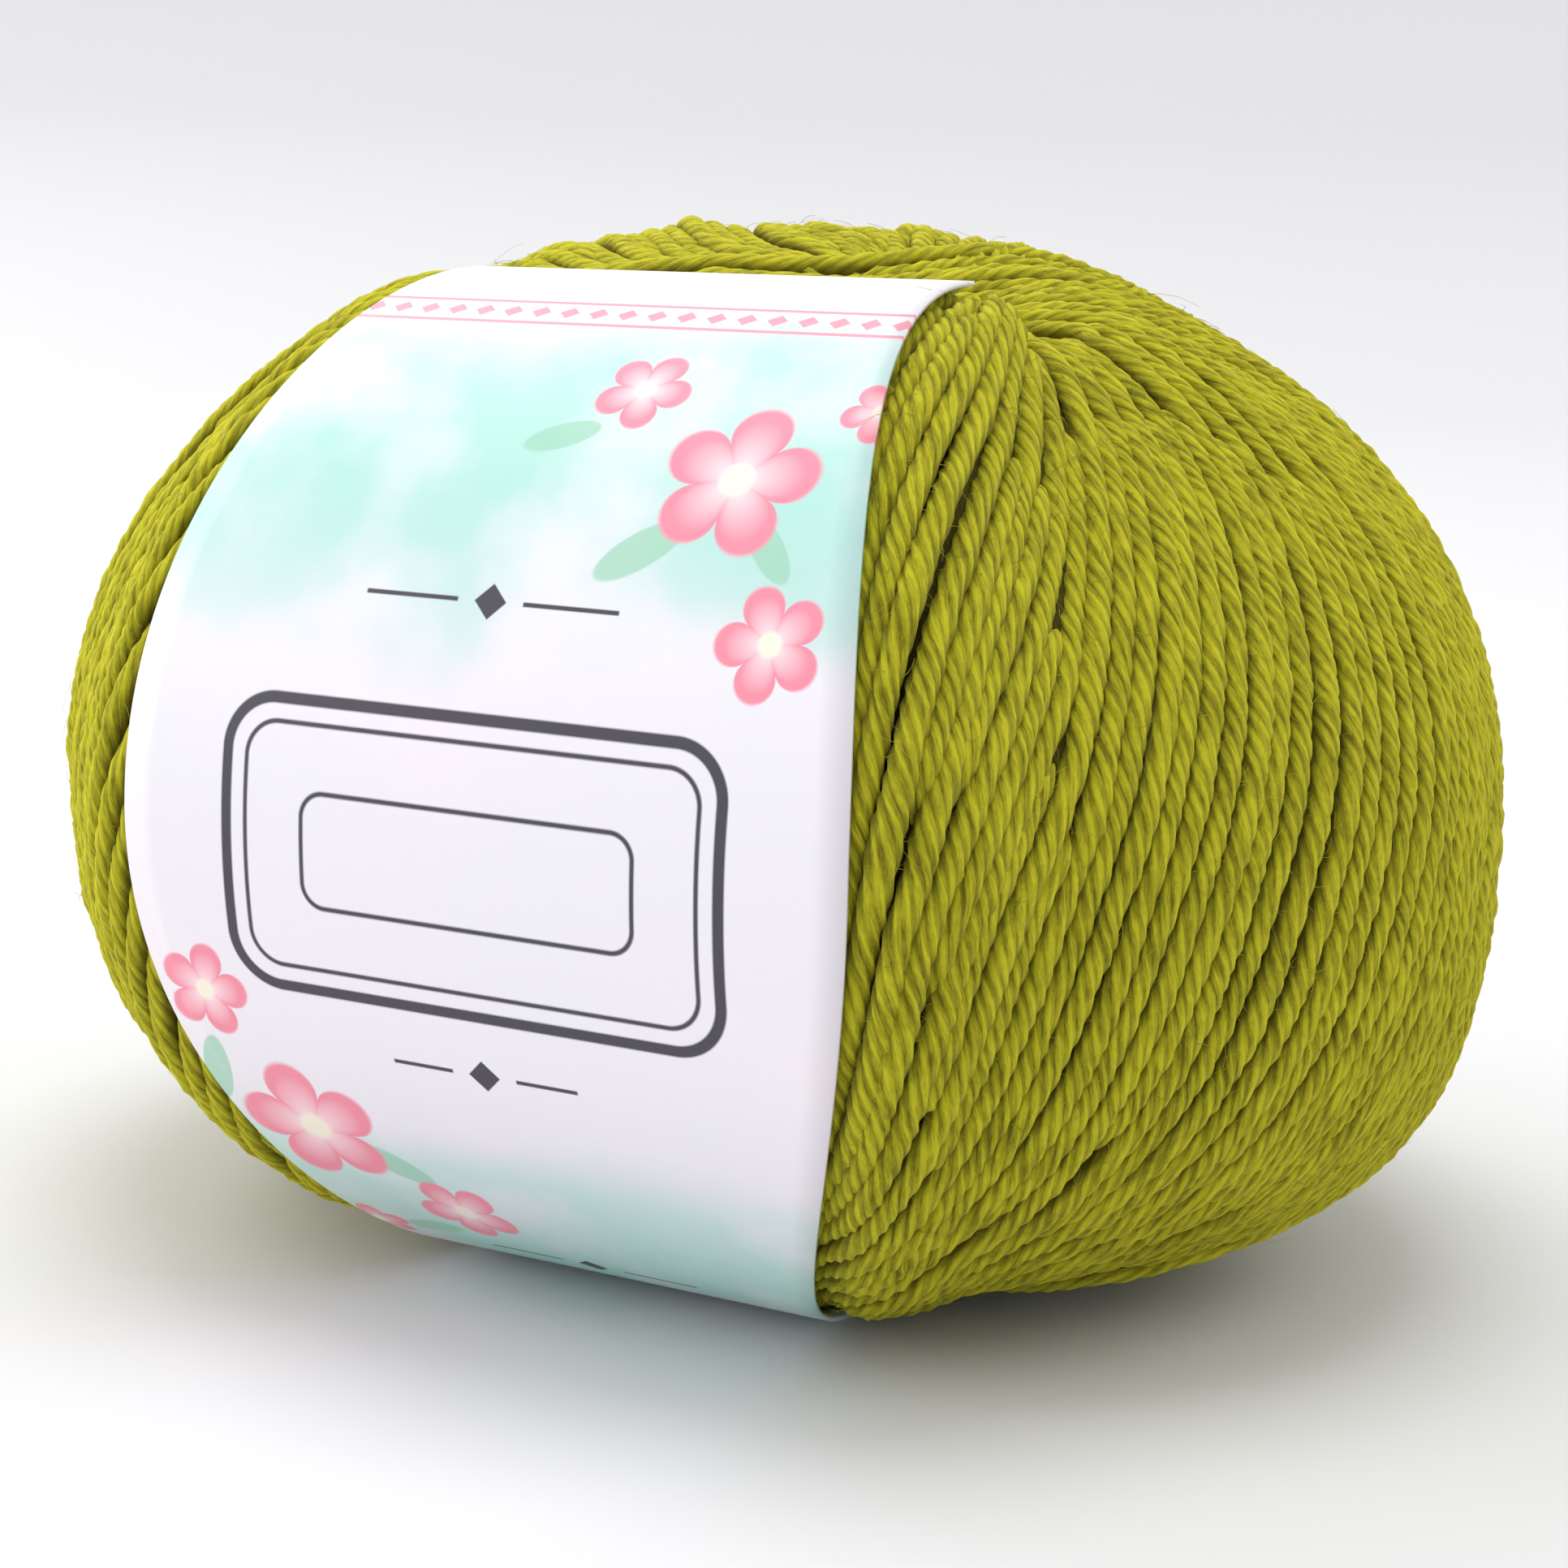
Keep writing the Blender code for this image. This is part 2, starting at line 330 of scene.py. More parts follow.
def wound_form(turn, along):
    """Points of the wound form for turns that cross the widest line at the angle turn (radians), at the
    angle along (radians) of each turn, and whether they lie on the side that the label covers."""
    rise = np.cos(lean_of(along)) * np.sin(along)
    azimuth = turn + swing_of(along)
    upper = rise >= 0
    fullness = np.where(upper, TOP_FULLNESS, BOTTOM_FULLNESS)
    height = np.where(upper, TOP_RISE, BOTTOM_DROP)
    radius = (1 - np.abs(rise) ** fullness) ** (1 / fullness)
    end_rise = np.cos(np.radians(np.where(upper, LEAN_TOP, LEAN_BOTTOM)))
    rim = (1 - end_rise ** fullness) ** (1 / fullness)
    out = np.clip((radius - rim) / (1 - rim), 0.0, 1.0)
    cosine, sine = np.cos(azimuth), np.sin(azimuth)
    end = np.sign(cosine) * np.abs(cosine) ** SLOT_END_ROUND
    lip = np.sign(sine) * np.abs(sine) ** SLOT_LIP_ROUND
    pinch = 1 - PLAN_PINCH * np.sin(2 * azimuth) ** 2
    x = blend(SLOT_CENTRE_X + SLOT_HALF_LENGTH * end, HALF_WIDTH * cosine * pinch, out)
    y = blend(SLOT_CENTRE_Y + SLOT_HALF_WIDTH * lip, HALF_DEPTH * sine * pinch, out)
    spread = spread_of(x, y)
    z = height * (1 - spread ** fullness) ** (1 / fullness)
    z = z - DIMPLE_DEPTH * np.exp(-((out / DIMPLE_REACH) ** 2))
    share = np.clip(z / height, 0.0, 1.0) ** 2 * out
    x = x + np.where(upper, CROWN_SHIFT[0], BELLY_SHIFT) * share
    y = y + np.where(upper, CROWN_SHIFT[1], 0.0) * share
    points = np.stack([x, y, EQUATOR_HEIGHT + np.where(upper, z, -z)], -1)
    return points, sine < -0.02


def outward_of(points):
    """Which way the wound form faces at each point."""
    x, y, z = points[..., 0], points[..., 1], points[..., 2] - EQUATOR_HEIGHT
    upper = z >= 0
    fullness = np.where(upper, TOP_FULLNESS, BOTTOM_FULLNESS)
    height = np.where(upper, TOP_RISE, BOTTOM_DROP)
    spread = spread_of(x, y)
    side = spread ** (fullness - 2)
    lift = np.clip(np.abs(z) / height, 1e-3, 1.0) ** (fullness - 1) / height * np.where(upper, 1.0, -1.0)
    facing = np.stack([side * x / HALF_WIDTH ** 2, side * y / HALF_DEPTH ** 2, lift], -1)
    return facing / np.linalg.norm(facing, axis=-1, keepdims=True)


def lay_against_label(points, front, reach):
    """Lays the front of the yarn against the label's inner face and keeps the slot's lips clear of it.
    Also says how far each point lies inside the label's edges, below nought where it is outside."""
    section = band_section()
    outer = section[:, :2]
    ahead = np.roll(outer, -1, 0) - np.roll(outer, 1, 0)
    ahead = ahead / np.linalg.norm(ahead, axis=1, keepdims=True)
    outward = np.stack([-ahead[:, 1], ahead[:, 0]], -1)
    flat, ahead_of_slot = points.reshape(-1, 3).copy(), front.reshape(-1)
    covered = np.empty(len(flat))
    for start in range(0, len(flat), 20000):
        part = slice(start, start + 20000)
        offset = flat[part, None, 1:] - outer[None]
        nearest = (offset ** 2).sum(2).argmin(1)
        facing = outward[nearest]
        depth = -(offset[np.arange(len(nearest)), nearest] * facing).sum(1)
        edge = section[nearest, 2] / 2 - np.abs(flat[part, 0] - BAND_CENTRE_X)
        hold = 1.0 - ease((-edge - EDGE_MARGIN) / EDGE_SOFTNESS)
        move = np.where(ahead_of_slot[part], depth - reach, np.maximum(depth + LIP_GAP, 0.0))
        flat[part, 1:] += facing * (move * hold)[:, None]
        covered[part] = np.where(ahead_of_slot[part], edge, -99.0)
    return flat.reshape(points.shape), covered.reshape(front.shape)


# ---------------------------------------------------------------- making meshes and materials


def add(tree, kind, inputs=(), **settings):
    """Adds a node, sets what it is told, and sets or links its inputs by name or by place."""
    node = tree.nodes.new("ShaderNode" + kind)
    for name, value in settings.items():
        setattr(node, name, value)
    for place, value in inputs.items() if isinstance(inputs, dict) else enumerate(inputs):
        if isinstance(value, bpy.types.Node):
            value = value.outputs[0]
        if isinstance(value, bpy.types.NodeSocket):
            tree.links.new(value, node.inputs[place])
        elif value is not None:
            node.inputs[place].default_value = value
    return node


def new_material(name):
    """An empty node material, with its tree and its shader."""
    made = bpy.data.materials.new(name)
    made.use_nodes = True
    tree = made.node_tree
    return made, tree, tree.nodes["Principled BSDF"]


def place(name, mesh, material, node, slot):
    """Makes an object of a mesh, and has it ride on the part in place of a solid."""
    mesh.materials.clear()
    mesh.materials.append(material)
    mesh.shade_smooth()
    piece = bpy.data.objects.new(name, mesh)
    bpy.context.scene.collection.objects.link(piece)
    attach(piece, "root")
    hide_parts(node)
    return piece


def mark_strands(mesh, runs, profile):
    """Says of each point whether it lies on the crest of a ply or between two, and where it lies in the
    strand, in millimetres: across it both ways, and along it."""
    radii = np.array([radius for radius, _ in profile])
    angles = np.array([angle for _, angle in profile])
    crest = (radii - radii.min()) / max(radii.max() - radii.min(), 1e-6)
    spun = []
    for number, run in enumerate(runs):
        length = np.concatenate([[0.0], np.cumsum(np.linalg.norm(np.diff(run[:, :3], axis=0), axis=1))])
        ring = np.stack([radii * np.cos(angles), radii * np.sin(angles)], -1)
        ring = np.broadcast_to(ring, (len(run), len(profile), 2))
        far = np.broadcast_to((length + 31.7 * number)[:, None, None], (len(run), len(profile), 1))
        spun.append(np.concatenate([ring, far], -1).reshape(-1, 3))
    spun = np.concatenate(spun)
    if len(spun) != len(mesh.vertices):
        raise RuntimeError("the strands' points are not in rings")
    mesh.attributes.new("spun", "FLOAT_VECTOR", "POINT").data.foreach_set("vector", spun.ravel())
    # The crest mark is the mask for the painted shade between the plies in the wool material.
    ply = np.tile(crest, len(spun) // len(profile))
    mesh.attributes.new("ply", "FLOAT", "POINT").data.foreach_set("value", ply)


def loosen_plies(mesh, sides, seed):
    """Makes each ply swell and thin along its length, as loosely spun wool does, and says how far each
    point is tucked in between the turns."""
    rng = np.random.default_rng(seed)
    places = np.empty(len(mesh.vertices) * 3)
    mesh.vertices.foreach_get("co", places)
    rings = places.reshape(-1, sides, 3)
    middle = rings.mean(1, keepdims=True)
    swell = rng.normal(0.0, 1.0, (len(rings) + 8, sides // 2))
    swell = sum(swell[start:start + len(rings)] for start in range(8)) / math.sqrt(8)
    swell = np.repeat(swell, 2, axis=1)
    swell[:, 1::2] = (swell[:, ::2] + np.roll(swell[:, ::2], -1, 1)) / 2
    rings = middle + (rings - middle) * (1.0 + 0.05 * np.clip(swell, -2.0, 2.0))[..., None]
    mesh.vertices.foreach_set("co", rings.ravel())
    # How far each point is turned in between the turns: the mask for the painted shade there in the wool
    # material.
    around = (rings - middle) / np.linalg.norm(rings - middle, axis=-1, keepdims=True)
    facing = outward_of(middle / MM + (0.0, FORWARD, 0.0))
    tuck = 1.0 - ease((around * facing).sum(-1) / 0.75)
    mesh.attributes.new("tuck", "FLOAT", "POINT").data.foreach_set("value", tuck.ravel())


def sweep(name, runs, profile):
    """A mesh of many strands, each an array of (x, y, z, radius, tilt) rows in millimetres."""
    outline = bpy.data.curves.new("outline", "CURVE")
    ring = outline.splines.new("POLY")
    ring.points.add(len(profile) - 1)
    for point, (radius, angle) in zip(ring.points, profile):
        point.co = (radius * math.cos(angle) * MM, radius * math.sin(angle) * MM, 0.0, 1.0)
    ring.use_cyclic_u = True
    outline_object = bpy.data.objects.new("outline", outline)

    curve = bpy.data.curves.new(name, "CURVE")
    curve.dimensions = "3D"
    curve.bevel_mode = "OBJECT"
    curve.bevel_object = outline_object
    curve.twist_mode = "MINIMUM"
    for run in runs:
        spline = curve.splines.new("POLY")
        spline.points.add(len(run) - 1)
        places = np.column_stack([(run[:, :3] - (0.0, FORWARD, 0.0)) * MM, np.ones(len(run))])
        spline.points.foreach_set("co", places.ravel())
        spline.points.foreach_set("radius", run[:, 3])
        spline.points.foreach_set("tilt", run[:, 4])
    strand = bpy.data.objects.new(name, curve)
    bpy.context.scene.collection.objects.link(strand)
    bpy.context.scene.collection.objects.link(outline_object)
    bpy.context.view_layer.update()
    mesh = bpy.data.meshes.new_from_object(strand.evaluated_get(bpy.context.evaluated_depsgraph_get()))
    mesh.name = name
    for item in (strand, outline_object):
        data = item.data
        bpy.data.objects.remove(item)
        bpy.data.curves.remove(data)
    mark_strands(mesh, runs, profile)
    if len(profile) > 3:
        loosen_plies(mesh, len(profile), len(runs))
    shape = bmesh.new()
    shape.from_mesh(mesh)
    bmesh.ops.holes_fill(shape, edges=[edge for edge in shape.edges if edge.is_boundary], sides=0)
    bmesh.ops.recalc_face_normals(shape, faces=shape.faces)
    shape.to_mesh(mesh)
    shape.free()
    return mesh


# ---------------------------------------------------------------- the turns


def even_out(rows, reach):
    """The running mean along each row, over so many places either way."""
    sums = np.pad(rows, ((0, 0), (reach + 1, reach)), mode="edge").cumsum(axis=1)
    return (sums[:, 2 * reach + 1:] - sums[:, :-2 * reach - 1]) / (2 * reach + 1)


def lay_turns(yarn):
    """Every stretch of yarn that shows, as rows of (x, y, z, radius, tilt), in the order it was wound."""
    rng = np.random.default_rng(5)
    # Between every two turns lies one more, which comes up only where they stand apart.
    count = 2 * yarn.turns
    strand = yarn.strand / MM
    step = 2 * math.pi / yarn.turns
    last = yarn.last_turn
    age = (count - 1 - np.arange(count)) * step / 2
    turn = last - age
    along = np.radians(np.linspace(-90.0, 270.0, RUN_STEPS + 1))

    # A turn wanders a little to either side of its even place, turns gather in loose bundles, and the
    # winding has soft lumps.
    waves = rng.uniform(0, 2 * math.pi, (count, 3))
    wander = np.zeros((count, len(along)))
    for wave in range(3):
        wander += WANDER * np.sin((wave + 1.3) * along[None] + waves[:, wave, None])
    lump = np.zeros_like(wander)
    for around, up, start, size, shift in LUMPS:
        phase = around * turn[:, None] + up * along[None] + start
        lump += size * np.sin(phase)
        wander += shift * np.cos(phase)
    thread = rng.normal(0.0, THREAD_HEIGHT, (count, 1))

    points, front = wound_form(turn[:, None] + wander * step, along[None])
    points, covered = lay_against_label(points, front, yarn_reach())
    ahead = np.gradient(points, axis=1)
    ahead /= np.linalg.norm(ahead, axis=-1, keepdims=True) + 1e-9
    across = np.gradient(points, axis=0) * 2
    across -= (across * ahead).sum(-1, keepdims=True) * ahead
    room = even_out(np.linalg.norm(across, axis=-1) / strand, 20)
    # Where turns stand further apart the yarn is looser and fills the room.
    between = ease((room - LOOSE_FROM) / 0.3)
    loose = np.clip(room / (1.0 + 0.7 * between), 0.88, 1.2)

    # Towards the slot there is less and less room, so every other turn sinks below its neighbours, then
    # every other one of those that are left.
    level = np.array([9.0] + [(place & -place).bit_length() - 1.0 for place in range(1, count)])[::-1]
    threshold = CROWDED_BELOW * 0.5 ** (level - 1.0) * rng.uniform(0.85, 1.15, count)
    sunk = ease((threshold[:, None] - room) / (0.4 * threshold[:, None]))
    sunk = np.where(level[:, None] == 0.0, 1.0 - between, sunk)

    # A turn is covered where the turn that crosses it there was wound later.
    swing = swing_of(along)
    crossing = last - np.mod(last - (turn[:, None] + swing[None] - swing_of(math.pi - along)[None]),
                             2 * math.pi)
    shows = turn[:, None] >= crossing

    # The last turns to be wound lie highest.
    lift = LAST_LIFT * np.exp(-age / math.radians(16.0))[:, None]
    facing = outward_of(points)
    runs = []
    for row in range(count):
        length = np.concatenate([[0], np.cumsum(np.linalg.norm(np.diff(points[row], axis=0), axis=1))])
        seen = np.flatnonzero(shows[row])
        if not len(seen):
            continue
        after = np.clip(np.searchsorted(seen, np.arange(len(along))), 0, len(seen) - 1)
        before = np.clip(after - 1, 0, len(seen) - 1)
        gap = np.minimum(abs(length - length[seen[after]]), abs(length - length[seen[before]]))
        dive = ease(gap / DIVE_LENGTH)
        keep = (gap < DIVE_LENGTH) & (sunk[row] < 0.98) & (covered[row] < HIDDEN_BY_LABEL)
        pressed = EDGE_DENT * np.exp(-((covered[row] + 0.4) / 1.3) ** 2)
        under = strand / 2 + sunk[row] * strand * 1.25 + dive * strand + pressed
        rise = (lift[row] + lump[row] + thread[row]) * (1 - ease((covered[row] + 6.0) / 5.0))
        lane = points[row] + facing[row] * (rise - under)[:, None]
        lane[:, 2] = np.maximum(lane[:, 2], strand / 2 * 1.05)
        edges = np.flatnonzero(np.diff(np.concatenate([[0], keep.astype(int), [0]])))
        for start, end in zip(edges[::2], edges[1::2]):
            shown = length[end - 1] - length[start]
            if shown < SHORTEST_RUN:
                continue
            places = np.linspace(length[start], length[end - 1], int(shown / (yarn.ring / MM)) + 2)
            rows = [np.interp(places, length, lane[:, axis]) for axis in range(3)]
            thin = 1.0 - 0.5 * np.interp(places, length, sunk[row] ** 2)
            thick = thin * (0.45 + 0.55 * np.interp(places, length, loose[row]))
            thick += 0.04 * np.sin(places * 0.11 + waves[row, 0]) + 0.02 * waves[row, 1] / math.pi - 0.02
            slack = 0.6 * np.sin(places * 0.31 + waves[row, 1])
            slack += 0.25 * np.sin(places * 0.83 + waves[row, 0])
            tilt = -2 * math.pi * (places + slack) / (yarn.twist / MM) + waves[row, 2]
            runs.append(np.column_stack(rows + [thick, tilt]))
    return runs


def yarn_reach():
    """How far the front of the yarn lies inside the label's outer face, in millimetres."""
    return bpy.context.scene.label_settings.paper / MM + LABEL_GAP


def wool(name, crest, valley, streak):
    """Worsted spun wool, plied and lightly fulled: matt, with a soft bloom of fibre at grazing angles.
    The fibres run along each ply. Real ones are about 0.02 mm thick; they are drawn ten times as coarse,
    so that they show. The streak says how many there are to a millimetre, across the ply and along it."""
    made, tree, shader = new_material(name)
    shader.inputs["Roughness"].default_value = 0.92
    shader.inputs["Specular IOR Level"].default_value = 0.12
    shader.inputs["Sheen Weight"].default_value = 0.35
    shader.inputs["Sheen Roughness"].default_value = 0.5
    shader.inputs["Sheen Tint"].default_value = (*linear("#F0E860"), 1.0)
    ply = add(tree, "Attribute", attribute_name="ply")
    spun = add(tree, "Attribute", attribute_name="spun").outputs["Vector"]
    across, along = streak
    stretched = add(tree, "Mapping", {"Vector": spun, "Scale": (across, across, along)})
    fibre = add(tree, "TexNoise", {"Vector": stretched, "Scale": 1.0, "Detail": 4.0, "Roughness": 0.7})
    # Slubs and shade a few millimetres long.
    slub = add(tree, "Mapping", {"Vector": spun, "Scale": (0.5, 0.5, 0.35)})
    patch = add(tree, "TexNoise", {"Vector": slub, "Scale": 1.0, "Detail": 2.0})
    # Painted shade: the valleys between the plies are drawn darker than the crests. The fibre streaks and
    # slubs add random tone on top.
    tone = add(tree, "Math", [ply.outputs["Fac"], 0.45, 0.0], operation="MULTIPLY_ADD")
    tone = add(tree, "Math", [fibre.outputs["Fac"], 1.3, tone], operation="MULTIPLY_ADD")
    tone = add(tree, "Math", [patch.outputs["Fac"], 0.6, tone], operation="MULTIPLY_ADD")
    ramp = add(tree, "MapRange", {"Value": tone, "From Min": 0.8, "From Max": 1.45})
    colour = add(tree, "Mix", {0: ramp, 6: (*valley, 1.0), 7: (*crest, 1.0)}, data_type="RGBA")
    # Painted shade: where the fibres between two turns shade each other, the sides of each strand are
    # drawn darker.
    tuck = add(tree, "Attribute", attribute_name="tuck")
    shade = add(tree, "Math", [tuck.outputs["Fac"], 0.85], operation="MULTIPLY")
    shaded = {0: shade, 6: colour.outputs[2], 7: (*linear("#4A420E"), 1.0)}
    colour = add(tree, "Mix", shaded, data_type="RGBA")
    tree.links.new(colour.outputs[2], shader.inputs["Base Color"])
    bump = add(tree, "Bump", {"Height": fibre.outputs["Fac"], "Strength": 0.8, "Distance": 0.00018})
    tree.links.new(bump.outputs[0], shader.inputs["Normal"])
    return made


class BALL_OT_turns(bpy.types.Operator):
    """Lays the outer turns of yarn, each where it shows"""

    bl_idname = "ball.turns"
    bl_label = "Outer turns"

    def execute(self, context):
        yarn = context.scene.yarn_settings
        runs = lay_turns(yarn)
        material = wool("worsted_wool", yarn.crest, yarn.valley, (5.0, 0.8))
        radius = yarn.strand / MM / 2
        profile = [(radius * (1.0 if side % 2 == 0 else VALLEY_SHARE), side * 2 * math.pi / PROFILE_SIDES)
                   for side in range(PROFILE_SIDES)]
        rings = sum(len(run) for run in runs)
        limit = rings / math.ceil(rings * 2 * PROFILE_SIDES / PIECE_TRIANGLES)
        group, size, number = [], 0, 1
        for place_in_runs, run in enumerate(runs):
            group.append(run)
            size += len(run)
            if size >= limit or place_in_runs == len(runs) - 1:
                mesh = sweep(f"wound_turns_{number}", group, profile)
                place(mesh.name, mesh, material, "yarn_ball", "lime_wool")
                group, size, number = [], 0, number + 1
        return {"FINISHED"}


class BALL_OT_core(bpy.types.Operator):
    """Fills the ball behind its outer turns"""

    bl_idname = "ball.core"
    bl_label = "Wound core"

    def execute(self, context):
        shape = bmesh.new()
        shape.from_mesh(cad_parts["yarn_ball"].data)
        bmesh.ops.remove_doubles(shape, verts=shape.verts, dist=0.00001)
        bmesh.ops.recalc_face_normals(shape, faces=shape.faces)
        for vert in shape.verts:
            vert.co -= vert.normal * CORE_DEPTH * MM
        mesh = bpy.data.meshes.new("wound_core")
        shape.to_mesh(mesh)
        shape.free()
        spun = np.array([vert.co for vert in mesh.vertices]) / MM
        mesh.attributes.new("spun", "FLOAT_VECTOR", "POINT").data.foreach_set("vector", spun.ravel())
        # Painted shade: the inner turns are the same lime wool, drawn dark because they show only deep in
        # the gaps between the outer turns.
        material = wool("inner_wool_painted_shade", linear("#4E480F"), linear("#2E2A08"), (3.0, 3.0))
        place("wound_core", mesh, material, "yarn_ball", "lime_wool")
        return {"FINISHED"}


def grow_hairs(yarn):
    """Stray fibres that stand off the turns, each as a few rows of (x, y, z, radius, tilt)."""
    rng = np.random.default_rng(11)
    count = yarn.hairs * 2
    turn = yarn.last_turn - rng.uniform(0.0, 2 * math.pi, (count, 1))
    along = np.arcsin(rng.uniform(-0.97, 0.97, (count, 1)))
    points, front = wound_form(turn, along)
    points, covered = lay_against_label(points, front, yarn_reach())
    facing = outward_of(points)[:, 0]
    rooms = np.flatnonzero(covered[:, 0] < -1.0)[:yarn.hairs]
    steps = np.linspace(0.0, 1.0, 4)[:, None]
    hairs = []
    for root in rooms:
        side = np.cross(facing[root], rng.normal(size=3))
        side /= np.linalg.norm(side)
        curl = np.cross(facing[root], side)
        reach = rng.uniform(0.6, 1.8) if rng.random() < 0.95 else rng.uniform(2.0, 4.5)
        rise = rng.uniform(0.1, 0.8)
        bend = rng.uniform(-0.9, 0.9)
        way = side * steps + curl * bend * steps ** 2 + facing[root] * rise * (steps - 0.6 * steps ** 2)
        places = points[root, 0] - facing[root] * rng.uniform(0.25, 0.6) + way * reach
        places[:, 2] = np.maximum(places[:, 2], 0.05)
        fine = np.full((4, 1), rng.uniform(0.012, 0.022)) * (1.0 - 0.5 * steps)
        hairs.append(np.hstack([places, fine, np.zeros((4, 1))]))
    return hairs


class BALL_OT_hairs(bpy.types.Operator):
    """Adds the stray fibres that stand off the wool"""

    bl_idname = "ball.hairs"
    bl_label = "Stray fibres"

    def execute(self, context):
        yarn = context.scene.yarn_settings
        profile = [(1.0, side * 2 * math.pi / 3) for side in range(3)]
        mesh = sweep("stray_fibres", grow_hairs(yarn), profile)
        place(mesh.name, mesh, wool("stray_wool", linear("#D6D45A"), linear("#B7B438"), (1.0, 1.0)),
              "yarn_ball", "lime_wool")
        return {"FINISHED"}


# ---------------------------------------------------------------- the label


def over(tree, under, mask, colour):
    """Prints a colour over what is there, where the mask is. Both are sockets or linear colours."""
    under, colour = (
        side if isinstance(side, bpy.types.NodeSocket) else (*side, 1.0) for side in (under, colour)
    )
    return add(tree, "Mix", {0: mask, 6: under, 7: colour}, data_type="RGBA", clamp_factor=True).outputs[2]


def motif_space(tree, print_map, across, up, size, turn):
    """The print's coordinates, centred on a motif, turned with it and in its own size."""
    return add(tree, "Mapping", {
        "Vector": print_map, "Location": (across, up, 0.0), "Rotation": (0.0, 0.0, math.radians(turn)),
        "Scale": size,
    }, vector_type="TEXTURE")


def blossom(tree, print_map, under, petal, row):
    """A plain five-petalled blossom with a pale heart."""
    across, up, size, turn = row
    local = motif_space(tree, print_map, across, up, (size, size, 1.0), turn)
    parts = add(tree, "SeparateXYZ", [local])
    angle = add(tree, "Math", [parts.outputs[1], parts.outputs[0]], operation="ARCTAN2")
    lobes = add(tree, "Math", [angle, 2.5], operation="MULTIPLY")
    lobes = add(tree, "Math", [lobes], operation="COSINE")
    lobes = add(tree, "Math", [lobes], operation="ABSOLUTE")
    lobes = add(tree, "Math", [lobes, 0.55], operation="POWER")
    edge = add(tree, "Math", [lobes, 0.5, 0.5], operation="MULTIPLY_ADD")
    far = add(tree, "VectorMath", [local], operation="LENGTH").outputs["Value"]
    share = add(tree, "Math", [far, edge], operation="DIVIDE")
    mask = add(tree, "MapRange", {"Value": share, "From Min": 1.0, "From Max": 0.93})
    deep = add(tree, "MapRange", {"Value": share, "From Min": 0.15, "From Max": 0.8})
    tint = over(tree, linear("#FBDDE2"), deep, petal)
    heart = add(tree, "MapRange", {"Value": far, "From Min": 0.24, "From Max": 0.17})
    tint = over(tree, tint, heart, linear("#F7EEDC"))
    return over(tree, under, mask, tint)


def leaf(tree, print_map, under, colour, row):
    """A small leaf: a narrow oval."""
    across, up, size, turn = row
    local = motif_space(tree, print_map, across, up, (size, size * LEAF_NARROWNESS, 1.0), turn)
    far = add(tree, "VectorMath", [local], operation="LENGTH").outputs["Value"]
    mask = add(tree, "MapRange", {"Value": far, "From Min": 1.0, "From Max": 0.9, "To Max": 0.8})
    return over(tree, under, mask, colour)


def frame_line(tree, print_map, under, colour, row):
    """A ruled line round a rectangle with round corners."""
    half_width, half_height, round_by, width = row
    local = add(tree, "VectorMath", [print_map, FRAME_CENTRE], operation="SUBTRACT")
    local = add(tree, "VectorMath", [local], operation="ABSOLUTE")
    local = add(tree, "VectorMath", [local, (half_width - round_by, half_height - round_by, 0.0)],
                operation="SUBTRACT")
    local = add(tree, "VectorMath", [local, (0.0, 0.0, 0.0)], operation="MAXIMUM")
    far = add(tree, "VectorMath", [local], operation="LENGTH").outputs["Value"]
    off = add(tree, "Math", [far, round_by], operation="SUBTRACT")
    off = add(tree, "Math", [off], operation="ABSOLUTE")
    mask = add(tree, "MapRange", {"Value": off, "From Min": width + 0.06, "From Max": width - 0.06})
    return over(tree, under, mask, colour)


def divider(tree, across, up_map, under, colour, row):
    """A thin rule with a small diamond at its middle."""
    up, half_length = row
    rise = add(tree, "Math", [up_map, up], operation="SUBTRACT")
    rise = add(tree, "Math", [rise], operation="ABSOLUTE")
    side = add(tree, "Math", [across], operation="ABSOLUTE")
    rule = add(tree, "MapRange", {"Value": rise, "From Min": 0.17, "From Max": 0.09})
    inner = add(tree, "MapRange", {"Value": side, "From Min": 2.0, "From Max": 2.1})
    outer = add(tree, "MapRange", {"Value": side, "From Min": half_length, "From Max": half_length - 0.1})
    rule = add(tree, "Math", [rule, inner], operation="MULTIPLY")
    rule = add(tree, "Math", [rule, outer], operation="MULTIPLY")
    corner = add(tree, "Math", [side, rise], operation="ADD")
    diamond = add(tree, "MapRange", {"Value": corner, "From Min": 1.05, "From Max": 0.95})
    mask = add(tree, "Math", [rule, diamond], operation="MAXIMUM")
    return over(tree, under, mask, colour)


def beads(tree, across, up_map, under, colour, row):
    """A row of small diamonds right across the label, between two hairlines."""
    up, spacing = row
    rise = add(tree, "Math", [up_map, up], operation="SUBTRACT")
    rise = add(tree, "Math", [rise], operation="ABSOLUTE")
    side = add(tree, "Math", [across, spacing / 2], operation="PINGPONG")
    corner = add(tree, "Math", [side, rise], operation="ADD")
    diamond = add(tree, "MapRange", {"Value": corner, "From Min": BEAD_SIZE, "From Max": 0.6})
    off = add(tree, "Math", [rise, HAIRLINE_OFFSET], operation="SUBTRACT")
    off = add(tree, "Math", [off], operation="ABSOLUTE")
    hairline = add(tree, "MapRange", {"Value": off, "From Min": 0.2, "From Max": 0.12})
    mask = add(tree, "Math", [diamond, hairline], operation="MAXIMUM")
    mask = add(tree, "Math", [mask, 0.9], operation="MULTIPLY")
    return over(tree, under, mask, colour)


